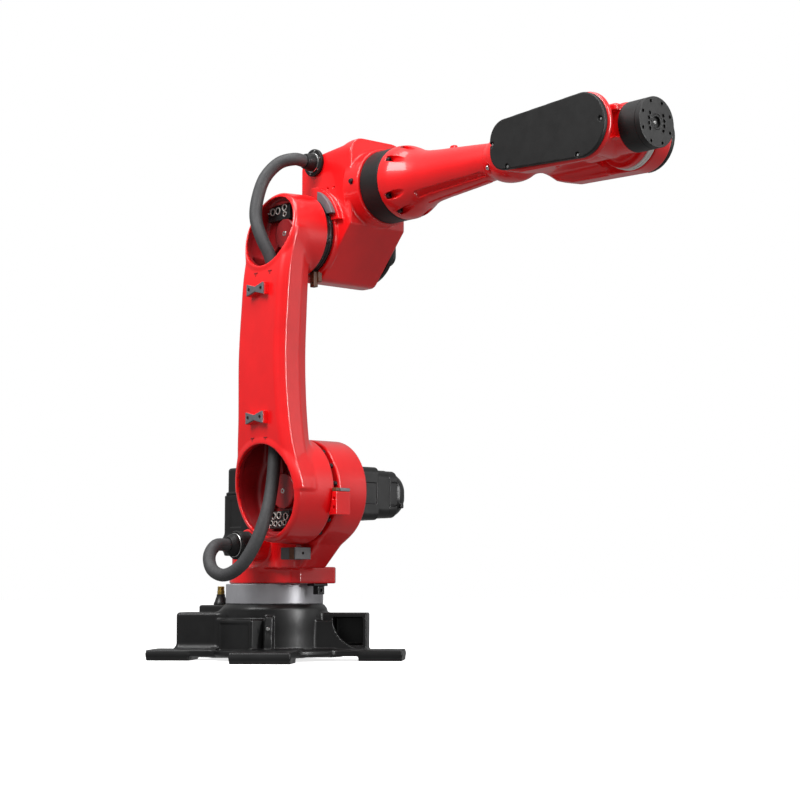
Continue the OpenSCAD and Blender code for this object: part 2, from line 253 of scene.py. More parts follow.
def put(name, verts, faces, mat, body, normals=None, smooth=True, replaces=()):
    """mesh piece in millimetres, riding on a body"""
    me = bpy.data.meshes.new(name)
    v = np.asarray(verts, np.float64) / 1000.0
    if isinstance(faces, np.ndarray):
        nf, k = faces.shape
        me.vertices.add(len(v))
        me.vertices.foreach_set("co", v.astype(np.float32).ravel())
        me.loops.add(nf * k)
        me.loops.foreach_set("vertex_index", faces.astype(np.int32).ravel())
        me.polygons.add(nf)
        me.polygons.foreach_set("loop_start", (np.arange(nf) * k).astype(np.int32))
        me.update(calc_edges=True)
        me.validate()
    else:
        me.from_pydata([tuple(p) for p in v], [], faces)
        me.update()
    me.polygons.foreach_set("use_smooth", np.full(len(me.polygons), bool(smooth)))
    if normals is not None and len(me.vertices) == len(normals):
        me.normals_split_custom_set_from_vertices([tuple(p) for p in normals])
    o = bpy.data.objects.new(name, me)
    bpy.context.scene.collection.objects.link(o)
    me.materials.append(mat)
    if body is not None:
        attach(o, body)
    if replaces:
        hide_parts(*replaces)
    PIECES.append(o)
    return o


def cast(name, f, lo, hi, pitch, mat, body, replaces=()):
    v, q, nor = net(f, lo, hi, pitch)
    return put(name, v, q, mat, body, nor, True, replaces)


# ---------------------------------------------------------------- materials


def material(name, colour, rough, metal=0.0, coat=0.0, coat_rough=0.08, spec=0.5, speck=0.06, scale=60.0, bump=0.05, bump_scale=900.0,
             rough_var=0.06, edge=None, edge_amount=0.0):
    """painted, moulded or metal surface with small changes of tone and roughness, and a fine surface grain"""
    m = bpy.data.materials.new(name)
    m.use_nodes = True
    nt = m.node_tree
    b = nt.nodes["Principled BSDF"]
    b.inputs["Metallic"].default_value = metal
    b.inputs["Coat Weight"].default_value = coat
    b.inputs["Coat Roughness"].default_value = coat_rough
    b.inputs["Specular IOR Level"].default_value = spec
    tc = nt.nodes.new("ShaderNodeTexCoord")
    n1 = nt.nodes.new("ShaderNodeTexNoise")
    n1.inputs["Scale"].default_value = scale
    n1.inputs["Detail"].default_value = 4.0
    nt.links.new(tc.outputs["Object"], n1.inputs["Vector"])
    ramp = nt.nodes.new("ShaderNodeValToRGB")
    c = np.array(colour, float)
    ramp.color_ramp.elements[0].position = 0.32
    ramp.color_ramp.elements[1].position = 0.68
    ramp.color_ramp.elements[0].color = (*np.clip(c * (1 - speck), 0, 1), 1)
    ramp.color_ramp.elements[1].color = (*np.clip(c * (1 + speck), 0, 1), 1)
    nt.links.new(n1.outputs["Fac"], ramp.inputs["Fac"])
    out = ramp.outputs["Color"]
    if edge is not None:
        ge = nt.nodes.new("ShaderNodeNewGeometry")
        er = nt.nodes.new("ShaderNodeValToRGB")
        er.color_ramp.elements[0].position = 0.53
        er.color_ramp.elements[1].position = 0.60
        nt.links.new(ge.outputs["Pointiness"], er.inputs["Fac"])
        mu = nt.nodes.new("ShaderNodeMath")
        mu.operation = "MULTIPLY"
        mu.inputs[1].default_value = edge_amount
        nt.links.new(er.outputs["Color"], mu.inputs[0])
        mx = nt.nodes.new("ShaderNodeMix")
        mx.data_type = "RGBA"
        nt.links.new(mu.outputs[0], mx.inputs["Factor"])
        nt.links.new(out, mx.inputs["A"])
        mx.inputs["B"].default_value = (*edge, 1)
        out = mx.outputs["Result"]
    nt.links.new(out, b.inputs["Base Color"])
    n2 = nt.nodes.new("ShaderNodeTexNoise")
    n2.inputs["Scale"].default_value = scale * 0.35
    n2.inputs["Detail"].default_value = 3.0
    nt.links.new(tc.outputs["Object"], n2.inputs["Vector"])
    mr = nt.nodes.new("ShaderNodeMapRange")
    mr.inputs["From Min"].default_value = 0.3
    mr.inputs["From Max"].default_value = 0.7
    mr.inputs["To Min"].default_value = max(0.02, rough - rough_var)
    mr.inputs["To Max"].default_value = min(1.0, rough + rough_var)
    nt.links.new(n2.outputs["Fac"], mr.inputs["Value"])
    nt.links.new(mr.outputs["Result"], b.inputs["Roughness"])
    n3 = nt.nodes.new("ShaderNodeTexNoise")
    n3.inputs["Scale"].default_value = bump_scale
    n3.inputs["Detail"].default_value = 2.0
    nt.links.new(tc.outputs["Object"], n3.inputs["Vector"])
    bp = nt.nodes.new("ShaderNodeBump")
    bp.inputs["Strength"].default_value = bump
    bp.inputs["Distance"].default_value = 0.0004
    nt.links.new(n3.outputs["Fac"], bp.inputs["Height"])
    nt.links.new(bp.outputs["Normal"], b.inputs["Normal"])
    return m


RED = material("red_paint", (0.82, 0.0045, 0.007), 0.34, coat=0.5, coat_rough=0.05, spec=0.35, speck=0.04, scale=18, bump=0.02, bump_scale=420)
# darker copy of the red paint: painted shade for the faces inside the arm openings, the hub discs in them and the small
# dark marks on the arm
RED_SHADED = material("red_paint_shaded", (0.30, 0.004, 0.007), 0.42, coat=0.3, coat_rough=0.2, speck=0.07, scale=30, bump=0.05, bump_scale=420)
BLACK = material("black_paint", (0.0085, 0.0085, 0.0088), 0.38, coat=0.08, spec=0.35, coat_rough=0.25, speck=0.16, scale=40, bump=0.10, bump_scale=700)
MOTOR = material("black_motor", (0.009, 0.009, 0.0094), 0.36, spec=0.4, speck=0.15, scale=60, bump=0.10, bump_scale=900)
PLASTIC = material("black_plastic", (0.011, 0.0108, 0.0108), 0.46, spec=0.28, speck=0.10, scale=80, bump=0.16, bump_scale=1400)
STEEL_BLACK = material("black_steel", (0.016, 0.016, 0.017), 0.32, metal=0.3, speck=0.12, scale=80, bump=0.05, bump_scale=900)
ALU = material("turned_aluminium", (0.36, 0.36, 0.38), 0.42, metal=0.35, speck=0.05, scale=30, bump=0.03, bump_scale=600)
STEEL = material("bright_steel", (0.62, 0.62, 0.61), 0.27, metal=1.0, speck=0.08, scale=120, bump=0.03, bump_scale=900)
BRASS = material("brass", (0.36, 0.24, 0.06), 0.38, metal=0.9, speck=0.18, scale=140, bump=0.05, bump_scale=900)
RUBBER = material("grey_rubber", (0.10, 0.10, 0.105), 0.60, speck=0.12, scale=90, bump=0.15, bump_scale=900)
GREY = material("grey_plate", (0.13, 0.13, 0.14), 0.46, metal=0.2, speck=0.10, scale=90, bump=0.08, bump_scale=900)
HOSE = material("hose_sleeve", (0.042, 0.042, 0.044), 0.62, speck=0.14, scale=160, bump=0.20, bump_scale=1500)
BROWN = material("brown_strip", (0.12, 0.045, 0.015), 0.60, speck=0.15, scale=120, bump=0.10, bump_scale=900)
# pale seal colour; also put on the steel rings of the cable plates as a painted highlight
PALE_SEAL_AND_PAINTED_HIGHLIGHT = material("white_seal_and_painted_highlight", (0.74, 0.70, 0.66), 0.45, speck=0.05, scale=80, bump=0.06, bump_scale=900)

# ---------------------------------------------------------------- small hardware


def frame_of(axis):
    a = np.array(axis, float)
    a /= np.linalg.norm(a)
    h = np.array([0, 0, 1.0]) if abs(a[2]) < 0.9 else np.array([1.0, 0, 0])
    u = np.cross(h, a)
    u /= np.linalg.norm(u)
    return u, np.cross(a, u), a


class Bag:
    """many small meshes joined into one"""

    def __init__(self):
        self.v, self.f, self.n = [], [], 0

    def add(self, v, f):
        self.v.append(np.asarray(v, float))
        self.f += [[i + self.n for i in q] for q in f]
        self.n += len(v)

    def lathe(self, at, axis, prof, sides=20, phase=0.0):
        """turned shape from (height, radius) points along axis; a radius of 0 closes it"""
        u, w, a = frame_of(axis)
        at = np.array(at, float)
        v, rows = [], []
        for h, r in prof:
            if r <= 0:
                rows.append([len(v)])
                v.append(at + a * h)
            else:
                rows.append(list(range(len(v), len(v) + sides)))
                for k in range(sides):
                    t = 2 * math.pi * (k + phase) / sides
                    v.append(at + a * h + r * (math.cos(t) * u + math.sin(t) * w))
        f = []
        for p, q in zip(rows, rows[1:]):
            for k in range(sides):
                k2 = (k + 1) % sides
                if len(p) == 1 and len(q) == 1:
                    continue
                if len(p) == 1:
                    f.append([p[0], q[k2], q[k]][::-1])
                elif len(q) == 1:
                    f.append([p[k], p[k2], q[0]])
                else:
                    f.append([p[k], p[k2], q[k2], q[k]])
        self.add(v, f)

    def screw(self, at, axis, r, h, sides=20):
        """socket-head screw: round head with a broken edge and a hexagon socket"""
        u, w, a = frame_of(axis)
        at = np.array(at, float)
        c = 0.14 * r
        v, rings = [], []
        for hh, rr, six in [(0, r, 0), (h - c, r, 0), (h, r - c, 0), (h, 0.52 * r, 1), (h - 0.6 * h, 0.50 * r, 1)]:
            rings.append(len(v))
            for k in range(sides):
                t = 2 * math.pi * k / sides
                q = rr
                if six:
                    ph = (t + math.pi / 6) % (math.pi / 3) - math.pi / 6
                    q = rr * math.cos(math.pi / 6) / math.cos(ph)
                v.append(at + a * hh + q * (math.cos(t) * u + math.sin(t) * w))
        f = []
        for i in range(len(rings) - 1):
            for k in range(sides):
                k2 = (k + 1) % sides
                f.append([rings[i] + k, rings[i] + k2, rings[i + 1] + k2, rings[i + 1] + k])
        f.append([rings[-1] + k for k in range(sides)])
        f.append([rings[0] + k for k in range(sides)][::-1])
        self.add(v, f)

    def done(self, name, mat, body, smooth_angle=35, replaces=()):
        v = np.concatenate(self.v)
        o = put(name, v, self.f, mat, body, None, False, replaces)
        me = o.data
        me.polygons.foreach_set("use_smooth", np.ones(len(me.polygons), bool))
        me.set_sharp_from_angle(angle=math.radians(smooth_angle))
        return o


# ---------------------------------------------------------------- base
HOLE_R = 9.0


def f_base(x, y, z):
    d = None
    for a in (45, 135):
        u, v, w = turned(x, y, z, a)
        b = box(u, v, w, (-331, -75.5, 12), (331, 75.5, 28), 2)
        d = b if d is None else ru(d, b, 14)
    d = ru(d, cz(x, y, z, 0, 0, 172, 12, 27, 4), 10)
    for a in (45, 135, 225, 315):
        u, v, w = turned(x, y, z, a)
        d = ru(d, box(u, v, w, (219, -75.5, 0), (331, 75.5, 20), 2), 5)
    drum = hyp(x - JX, y) - curve(z, [(0, 139), (60, 139), (124, 139), (133, 137.5), (145, 129), (160, 118)])
    drum = ri(drum, span(z, 13, 145), 2.5)
    d = ru(d, drum, 6)
    for a in (225, 135):
        u, v, w = turned(x, y, z, a)
        d = ru(d, box(u, v, w, (60, -58, 14), (256, 58, 124), 9), 18)
    u, v, w = turned(x, y, z, 45)
    pocket = rs(box(u, v, w, (60, -46, 14), (238, 46, 123), 4), box(u, v, w, (150, -90, 40), (227, 32, 111), 4), 2)
    web = rs(box(u, v, w, (104, -70, 20), (236, -58, 104), 2), hyp(u - 232, w - 112) - 80, 2)
    d = ru(d, pocket, 6)
    d = ru(d, web, 4)
    u, v, w = turned(x, y, z, 315)
    rib = ri(box(u, v, w, (60, -13, 14), (162, 8, 114), 3), (u - 150) * 0.96 + (w - 96) * 0.26, 3)
    d = ru(d, rib, 4)
    d = ru(d, box(x, y, z, (-250, -74, 15), (-70, 74, 142), 6), 6)
    d = ru(d, box(x, y, z, (-66, -147, 16), (84, -87, 106), 4), 5)
    d = ru(d, box(x, y, z, (-66, 87, 16), (84, 147, 106), 4), 5)
    d = rs(d, box(x, y, z, (-54, -160, 26), (72, -144.5, 97), 4), 1.5)
    d = rs(d, box(x, y, z, (-54, 144.5, 26), (72, 160, 97), 4), 1.5)
    for a in (45, 135, 225, 315):
        u, v, w = turned(x, y, z, a)
        d = rs(d, hyp(u - 290, v) - HOLE_R, 1.5)
        d = rs(d, cz(u, v, w, 290, 0, 17, 25.5, 40, 0.5), 1)
    return rs(d, cz(x, y, z, JX, 0, 112, -20, 20, 6), 3)


cast("base_casting_skin", f_base, (-290, -290, -4), (290, 290, 150), 4.2, BLACK, "base", ("base_casting",))


def f_ring(x, y, z):
    r = hyp(x - JX, y)
    d = ri(r - 127, span(z, 145, 197), 1.2)
    return rs(d, r - 70, 2)


cast("j1_reducer_ring_skin", f_ring, (-144, -132, 142), (120, 132, 200), 3.8, ALU, "base", ("j1_reducer_ring",))


def f_panel(x, y, z):
    d = box(x, y, z, (-256, -66, 28), (-249.5, 66, 130), 1.5)
    return rs(d, box(x, y, z, (-260, -60, 34), (-254.5, 60, 124), 1.5), 0.6)


cast("rear_panel_skin", f_panel, (-260, -70, 24), (-246, 70, 134), 2.2, GREY, "base", ("rear_panel",))

bag = Bag()
for yy in (-34, 34):
    bag.lathe((-254.5, yy, 78), (-1, 0, 0), [(0, 0), (0, 26), (5, 26), (6, 25), (6, 23), (12, 23), (13, 20), (16, 20), (17, 21.4), (19, 21.4), (20, 20), (22, 20),
              (23, 21.4), (25, 21.4), (26, 20), (31, 20), (33, 18.5), (33, 15), (24, 15), (24, 0)], 40)
    for k in range(7):
        t = 2 * math.pi * k / 6
        rr = 0 if k == 6 else 8.5
        bag.lathe((-278.5, yy + rr * math.cos(t), 78 + rr * math.sin(t)), (-1, 0, 0), [(0, 1.6), (6, 1.6), (7, 0.9), (7, 0)], 10)
bag.done("rear_connectors_skin", STEEL_BLACK, "base", replaces=("rear_connectors",))

bag = Bag()
for yy in (-57, 57):
    for zz in (37, 121):
        bag.screw((-254.6, yy, zz), (-1, 0, 0), 4.2, 3.4)
for zz in (83,):
    c, t = math.cos(math.radians(315)), math.sin(math.radians(315))
    bag.screw((160.8 * c + 2.5 * t, 160.8 * t - 2.5 * c, zz), (c, t, 0), 4.6, 4.2)
bag.done("base_screws", STEEL, "base")

bag = Bag()
bag.lathe((-198, -38, 141.2), (0, 0, 1), [(0, 0), (0, 19), (6, 19), (9, 17), (24, 11.5), (29, 11.5), (29, 0)], 28)
bag.done("brass_fitting_seat", BLACK, "base")
bag = Bag()
bag.lathe((-198, -38, 170), (0, 0, 1), [(0, 0), (0, 10.8), (9, 10.8), (9.6, 10.2)], 6)
bag.lathe((-198, -38, 179), (0, 0, 1), [(0, 0), (0, 9.2), (2, 9.2), (3, 8.4), (4, 9.2), (6, 9.2), (7, 8.4), (8, 9.2), (11, 9.2), (12.5, 7.8), (12.5, 5), (4, 5), (4, 0)], 28)
bag.done("brass_fitting_body", BRASS, "base", replaces=("brass_fitting",))

# ---------------------------------------------------------------- turntable
LUG = soft([(20, -86, 0), (126, -75, 30), (150, -74, 5), (168, -57, 5), (168, 57, 5), (150, 74, 5), (126, 75, 30), (20, 86, 0)])
LEG = soft([(-62, 236, 0), (221, 236, 12), (357, 356, 60), (340, 424, 10), (250, 470, 10), (140, 440, 30), (60, 330, 40)])


def f_turntable(x, y, z):
    o = np.minimum(hyp(x - JX, y) - 118, hyp(x + 104, y) - 62)
    o = ru(o, poly(x, y, LUG), 16)
    d = ri(o, span(z, 198, 240), 3.5)
    house = cy(x, y, z, SX, SZ, 130, -105, -14, 5)
    leg = ri(poly(x, z, LEG), span(y, -98, -16), 6)
    d = ru(d, ru(leg, house, 8), 8)
    d = ru(d, box(x, y, z, (-20, -60, 230), (44, 62, 300), 8), 10)
    d = ru(d, cy(x, y, z, 60, 294, 40, -106, -40, 3), 6)
    d = ru(d, cz(x, y, z, 130, -84, 15, 236, 330, 3), 5)
    d = ru(d, cz(x, y, z, 206, -88, 13, 236, 300, 3), 5)
    d = ru(d, cz(x, y, z, -104, 0, 57, 236, 272, 4), 10)
    return rs(d, cy(x, y, z, SX, SZ, 100, -112, -100, 1), 1.5)


cast("turntable_skin", f_turntable, (-172, -124, 194), (388, 126, 558), 3.8, RED, "turntable", ("turntable_casting",))

bag = Bag()
for k in range(16):
    t = 2 * math.pi * (k + 0.35) / 16
    bag.screw((SX + 118.5 * math.cos(t), -105.8, SZ + 118.5 * math.sin(t)), (0, -1, 0), 6.2, 8.2)
bag.done("shoulder_ring_screws", STEEL_BLACK, "turntable")


def f_j2ring(x, y, z):
    r = hyp(x - SX, z - SZ)
    d = ri(r - 109, span(y, -118.4, -100.5), 1.2)
    d = rs(d, ri(np.abs(r - 110) - 3, span(y, -113.5, -111), 0.4), 0.4)
    return rs(d, r - 60, 2)


cast("j2_reducer_ring_skin", f_j2ring, (136, -121, 310), (364, -97, 538), 3.0, STEEL_BLACK, "turntable", ("j2_reducer_ring",))


def f_j2motor(x, y, z):
    u, v = x - SX, z - SZ
    d = cy(x, y, z, SX, SZ, 88, -13.6, 8, 2)
    flange = ri(rrect(u, v, 134, 134, 18), span(y, 6, 78), 2)
    for i in (-1, 1):
        for j in (-1, 1):
            flange = rs(flange, cy(x, y, z, SX + 55 * i, SZ + 55 * j, 7, 72, 90, 1), 1)
    d = ru(d, flange, 3)
    for a, b in ((u, v), (v, u), (-v, u)):
        d = rs(d, box(a, y, b, (64.2, 16, -27), (80, 72, 27), 1.5), 0.8)
    body = ri(rrect(u, v, 121, 121, 24), span(y, 70, 119), 2)
    return ru(d, body, 2)


cast("j2_motor_skin", f_j2motor, (158, -17, 332), (342, 122, 516), 2.7, MOTOR, "turntable", ("j2_motor",))


def f_j2cap(x, y, z):
    u, v = x - SX, z - SZ
    d = ri(rrect(u, v, 119, 119, 53), span(y, 119.4, 194), 45)
    d = np.minimum(d, ri(rrect(u, v, 119, 119, 24), span(y, 119.4, 146), 2))
    for a, b in ((u, v), (v, u), (-v, u), (-u, v)):
        d = rs(d, ri(np.abs(np.abs(b) - 29) - 1.6, np.maximum(56.6 - a, span(y, 124, 144)), 0.4), 0.6)
    return ru(d, box(u, y, v, (46, 157, -35), (59.5, 168, -23), 2), 2)


cast("j2_motor_cap_skin", f_j2cap, (184, 116, 356), (318, 198, 490), 2.2, MOTOR, "turntable", ("j2_motor_cap",))


def f_j1motor(x, y, z):
    u, v = x + 106, y
    d = ri(rrect(u, v, 152, 142, 40), span(z, 296, 309), 3)
    body = ri(rrect(u, v, 120, 120, 18), span(z, 272.2, 432), 2.5)
    body = rs(body, box(u, v, z, (-24, -70, 345), (24, -58, 420), 4), 1.5)
    body = rs(body, box(u, v, z, (-24, 58, 345), (24, 70, 420), 4), 1.5)
    body = rs(body, box(u, v, z, (-70, -24, 345), (-58, 24, 420), 4), 1.5)
    return ru(d, body, 26)


cast("j1_motor_skin", f_j1motor, (-190, -78, 268), (-22, 78, 436), 3.2, MOTOR, "turntable", ("j1_motor",))


def f_j1cap(x, y, z):
    u, v = x + 106, y
    d = ri(rrect(u, v, 110, 110, 24), span(z, 432.2, 505), 8)
    d = ru(d, ri(rrect(u, v, 116, 116, 20), span(z, 432.2, 440), 1.5), 2)
    return ru(d, box(u, v, z, (50, -22, 448), (58, 22, 486), 2), 2)


cast("j1_motor_cap_skin", f_j1cap, (-170, -64, 428), (-42, 64, 509), 2.8, MOTOR, "turntable", ("j1_motor_cap",))


def f_j1stop(x, y, z):
    d = box(x, y, z, (132, -6, 191.2), (160, 40, 197.9), 1.2)
    d = ru(d, box(x, y, z, (136, 10, 170), (156, 32, 194), 1.5), 1.5)
    return rs(d, cx(x, y, z, 21, 180, 4, 150, 170, 0.4), 0.6)


cast("j1_stop_block_skin", f_j1stop, (128, -10, 166), (164, 44, 201), 1.6, STEEL_BLACK, "turntable", ("j1_stop_block",))


def f_j2stop(x, y, z):
    r = hyp(x - SX, z - SZ)
    d = box(x, y, z, (352, -132.5, 362), (402, -87, 419), 1.6)
    d = rs(d, ri(r - 137.5, y + 105.8, 0.5), 0.8)
    d = rs(d, r - 130.3, 0.8)
    for zz in (380, 402):
        d = rs(d, cy(x, y, z, 393.6, zz, 4.2, -145, -124, 0.4), 0.7)
    return d


cast("j2_stop_block_skin", f_j2stop, (350, -141, 358), (406, -83, 423), 1.7, RED, "turntable", ("j2_stop_block",))


def block(name, lo, hi, r, pitch, mat, body, replaces=(), holes=()):
    """machined block with broken edges and drilled holes given as (axis, a, b, radius)"""
    def f(x, y, z):
        d = box(x, y, z, lo, hi, r)
        for ax, p, q, rad in holes:
            if ax == "x":
                h = hyp(y - p, z - q) - rad
            elif ax == "y":
                h = hyp(x - p, z - q) - rad
            else:
                h = hyp(x - p, y - q) - rad
            d = rs(d, h, 0.5)
        return d
    pad = 2.5 * pitch
    return cast(name, f, [c - pad for c in lo], [c + pad for c in hi], pitch, mat, body, replaces)


block("j2_stop_pad_brown", (385, -131, 419.4), (402, -119.5, 427.6), 1.0, 1.2, BROWN, "turntable", (), (("z", 393.5, -125.5, 2.6),))
block("j2_stop_pad_grey", (383, -118, 419.4), (402, -88, 427.6), 1.0, 1.3, GREY, "turntable", (), (("z", 393, -103, 3.6),))
block("bumper_block", (206, -150, 256), (241, -100.5, 286), 3.0, 1.9, RUBBER, "turntable", ("j2_bumper",), (("z", 226, -128, 4.0),))
block("bumper_strip", (241.4, -149.8, 256.4), (260, -101, 285.8), 0.8, 1.3, BROWN, "turntable", (), (("x", -125, 271, 3.4),))
block("bumper_end", (260.4, -150, 256), (266, -101, 286), 1.0, 1.4, RUBBER, "turntable", (), (("x", -125, 271, 3.2),))

bag = Bag()
bag.lathe((60, -106.2, 294), (0, -1, 0), [(0, 0), (0, 33), (40, 33), (40, 36), (44, 36), (45, 35), (58, 35), (59, 36.4), (74, 36.4), (77, 34.5), (77, 0)], 56)
bag.lathe((60, -186.5, 294), (0, -1, 0), [(0, 0), (0, 29), (5, 29), (9, 27), (18, 20.5), (19, 20), (19, 0)], 48)
for k in range(6):
    t = 2 * math.pi * (k + 0.5) / 6
    bag.screw((60 + 31 * math.cos(t), -183, 294 + 31 * math.sin(t)), (0, -1, 0), 2.8, 2.2, 14)
bag.done("lower_gland_skin", PLASTIC, "turntable", replaces=("lower_gland",))
cast("lower_gland_boss", lambda x, y, z: rs(cy(x, y, z, 60, 294, 41, -145.6, -101, 4), hyp(x - 60, z - 294) - 33.6, 0.8), (14, -150, 248), (106, -97, 340), 2.2, RED, "turntable")

bag = Bag()
bag.lathe((60, -183.4, 294), (0, -1, 0), [(0, 0), (0, 30.6), (2.2, 30.6), (3, 29.8), (3, 0)], 56)
bag.done("lower_gland_ring_skin", STEEL, "turntable", replaces=("lower_gland_ring",))

# ---------------------------------------------------------------- lower arm
OUTER = [(270, -205), (310, -219), (366, -226), (424, -233), (540, -250), (640, -254), (860, -254), (980, -247), (1068, -226), (1120, -212), (1190, -194)]
FRONT = [(330, 382), (400, 382), (424, 382), (436, 380.5), (470, 373), (506, 364), (553, 354), (598, 346.5), (683, 338), (754, 335.5), (848, 338.5), (952, 343.5), (1010, 346), (1068, 347),
         (1140, 347)]
BACK = [(330, 119), (400, 119), (424, 119), (450, 124), (489, 132), (530, 140), (578, 146.5), (650, 150), (746, 152), (828, 156), (916, 161), (989, 163.5), (1030, 162), (1068, 159), (1140, 158)]
SECTION = soft([(150, -236, 10), (164, -254, 20), (330, -254, 30), (348.5, -236.5, 8), (341, -190, 40), (318, -153, 22), (288, -138, 12), (184, -138, 12), (158, -160, 24)], 8)


def arm_section(x, y, z):
    """one cross-section, drawn wider or narrower along the height"""
    face, xf, xr = curve(z, OUTER), curve(z, FRONT), curve(z, BACK)
    u = 150 + (x - xr) * 198.5 / (xf - xr)
    v = -138 + (y + 138) * 116 / (-138 - face)
    return poly(u, v, SECTION) * 0.84


def f_arm(x, y, z):
    c2, c3 = hyp(x - SX, z - SZ), hyp(x - SX, z - EZ)
    outer = curve(z, OUTER) - y
    sec = arm_section(x, y, z)
    mid = ri(sec, span(z, SZ, EZ), 2)
    end2 = ri(ri(c2 - 132 + 0.05 * np.maximum(-119 - y, 0), outer, 12), y + 121, 4)
    end3 = ri(ri(c3 - 104 + 0.05 * np.maximum(-119 - y, 0), outer, 10), y + 121, 4)
    d = ru(ru(mid, end2, 10), end3, 10)
    # hollow for the hose, and the two round openings with their floors
    hollow = np.minimum(np.minimum(ri(sec + 14, span(z, SZ, EZ), 4), c2 - 114), c3 - 89)
    inside = ri(ri(hollow, outer + 13, 8), y + 164, 12)
    inside = ri(ri(inside, z - (EZ + 74), 10), (SZ - 100) - z, 10)
    d = rs(d, inside, 3)
    d = rs(d, ri(c2 - 112.5, y + 186, 6), 2.5)
    return rs(d, ri(c3 - 89, y + 186, 6), 2.5)


arm = cast("lower_arm_skin", f_arm, (112, -262, 286), (388, -112, 1178), 3.6, RED, "lower_arm", ("lower_arm_casting",))
# faces deep inside the two openings and the hollow take the darker red: painted shade where the cavity lies in shade
arm.data.materials.append(RED_SHADED)
mids = np.empty(3 * len(arm.data.polygons))
arm.data.polygons.foreach_get("center", mids)
mids = mids.reshape(-1, 3) * 1000
shaded_faces = np.minimum(np.minimum(hyp(mids[:, 0] - SX, mids[:, 2] - SZ) - 114.5, hyp(mids[:, 0] - SX, mids[:, 2] - EZ) - 91),
                  np.maximum(arm_section(mids[:, 0], mids[:, 1], mids[:, 2]) + 9, span(mids[:, 2], SZ, EZ)))
shaded_faces = (shaded_faces < 0) & (mids[:, 1] > curve(mids[:, 2], OUTER) + 5) & (mids[:, 1] < -160)
arm.data.polygons.foreach_set("material_index", shaded_faces.astype(np.int32))


def f_hub(zc, rad, x, y, z):
    r = hyp(x - SX, z - zc)
    d = ri(r - rad, span(y, -178, -158), 3)
    d = rs(d, ri(np.abs(r - 0.66 * rad) - 3, -y - 175, 1), 1)
    d = rs(d, ri(r - 8.5, -y - 174, 0.5), 0.8)
    for a in (100, 220, 340):
        c, s = math.cos(math.radians(a)), math.sin(math.radians(a))
        u, v = (x - SX) * c + (z - zc) * s, -(x - SX) * s + (z - zc) * c
        d = ru(d, box(u, v, y, (rad - 8, -4, -174), (rad + 38, 4, -158), 2), 4)
    return d


# hub discs at the floor of the openings, in the darker red: painted shade
cast("j2_hub_disc", lambda x, y, z: f_hub(SZ, 44, x, y, z), (160, -182, 334), (340, -154, 514), 2.4, RED_SHADED, "lower_arm")
cast("j3_hub_disc", lambda x, y, z: f_hub(EZ, 38, x, y, z), (166, -182, 984), (334, -154, 1152), 2.4, RED_SHADED, "lower_arm")


def f_bow(zc, y0, y1, grow, holes, x, y, z):
    u, v = x - 250, z - zc
    a = ri(rrect(u, v, 67 + grow, 31 + grow, 2), np.abs(v) - 6.5 - grow / 2 - 0.26 * np.abs(u), 1.2)
    a = ri(a, span(y, y0, y1), 1.0)
    for c in (-24, 24) if holes else ():
        a = rs(a, cy(x, y, z, 250 + c, zc, 4.6, y0 - 5, y0 + 3.4, 0.4), 0.6)
    return a


for nm, zc in (("lower", 600), ("upper", 918)):
    cast("arm_boss_" + nm, lambda x, y, z, q=zc: f_bow(q, -265.6, -251, 1.5, False, x, y, z), (216, -269, zc - 20), (296, -248, zc + 20), 1.7, RED, "lower_arm")
    cast("arm_pad_" + nm, lambda x, y, z, q=zc: f_bow(q, -270, -265.7, 0.0, True, x, y, z), (216, -273, zc - 20), (296, -263, zc + 20), 1.5, GREY, "lower_arm",
         ("arm_pads",) if zc == 600 else ())

bag = Bag()
for zc in (600, 918):
    for xc in (226, 274):
        bag.screw((xc, -266.4, zc), (0, -1, 0), 3.2, 1.4, 16)
bag.done("pad_screws", STEEL_BLACK, "lower_arm")
bag = Bag()
for zc in (SZ, EZ):
    bag.screw((SX, -173.8, zc), (0, -1, 0), 7.0, 5.2, 20)
bag.done("arm_screws", STEEL, "lower_arm")


# small dark T marks beside the pads, 1.5 mm proud of the outer face in the darker red: painted shade of small holes
def f_shade_marks(x, y, z):
    d = None
    for xc, zc in ((229, 962), (286, 962), (222, 552), (275, 551)):
        yo = curve(np.asarray(zc, float), OUTER)
        a = box(x, y, z, (xc - 7, yo - 1.5, zc - 1.6), (xc + 7, yo + 4, zc + 1.6), 0.7)
        a = np.minimum(a, box(x, y, z, (xc - 1.6, yo - 1.5, zc - 9), (xc + 1.6, yo + 4, zc), 0.7))
        d = a if d is None else np.minimum(d, a)
    return d


cast("arm_shade_marks_upper", f_shade_marks, (218, -256, 948), (298, -240, 968), 1.1, RED_SHADED, "lower_arm")
cast("arm_shade_marks_lower", f_shade_marks, (210, -258, 538), (286, -244, 558), 1.1, RED_SHADED, "lower_arm")

BIG = [(215.5, 363, 9), (237, 364, 9), (264, 360.5, 9), (206, 345, 7), (224, 343.5, 7), (243, 343.5, 7), (260, 346, 7)]
TOP = [(190, 1131, 6), (204, 1129, 9.5), (225, 1129, 9.5), (252, 1134, 9), (253, 1117, 6.5)]


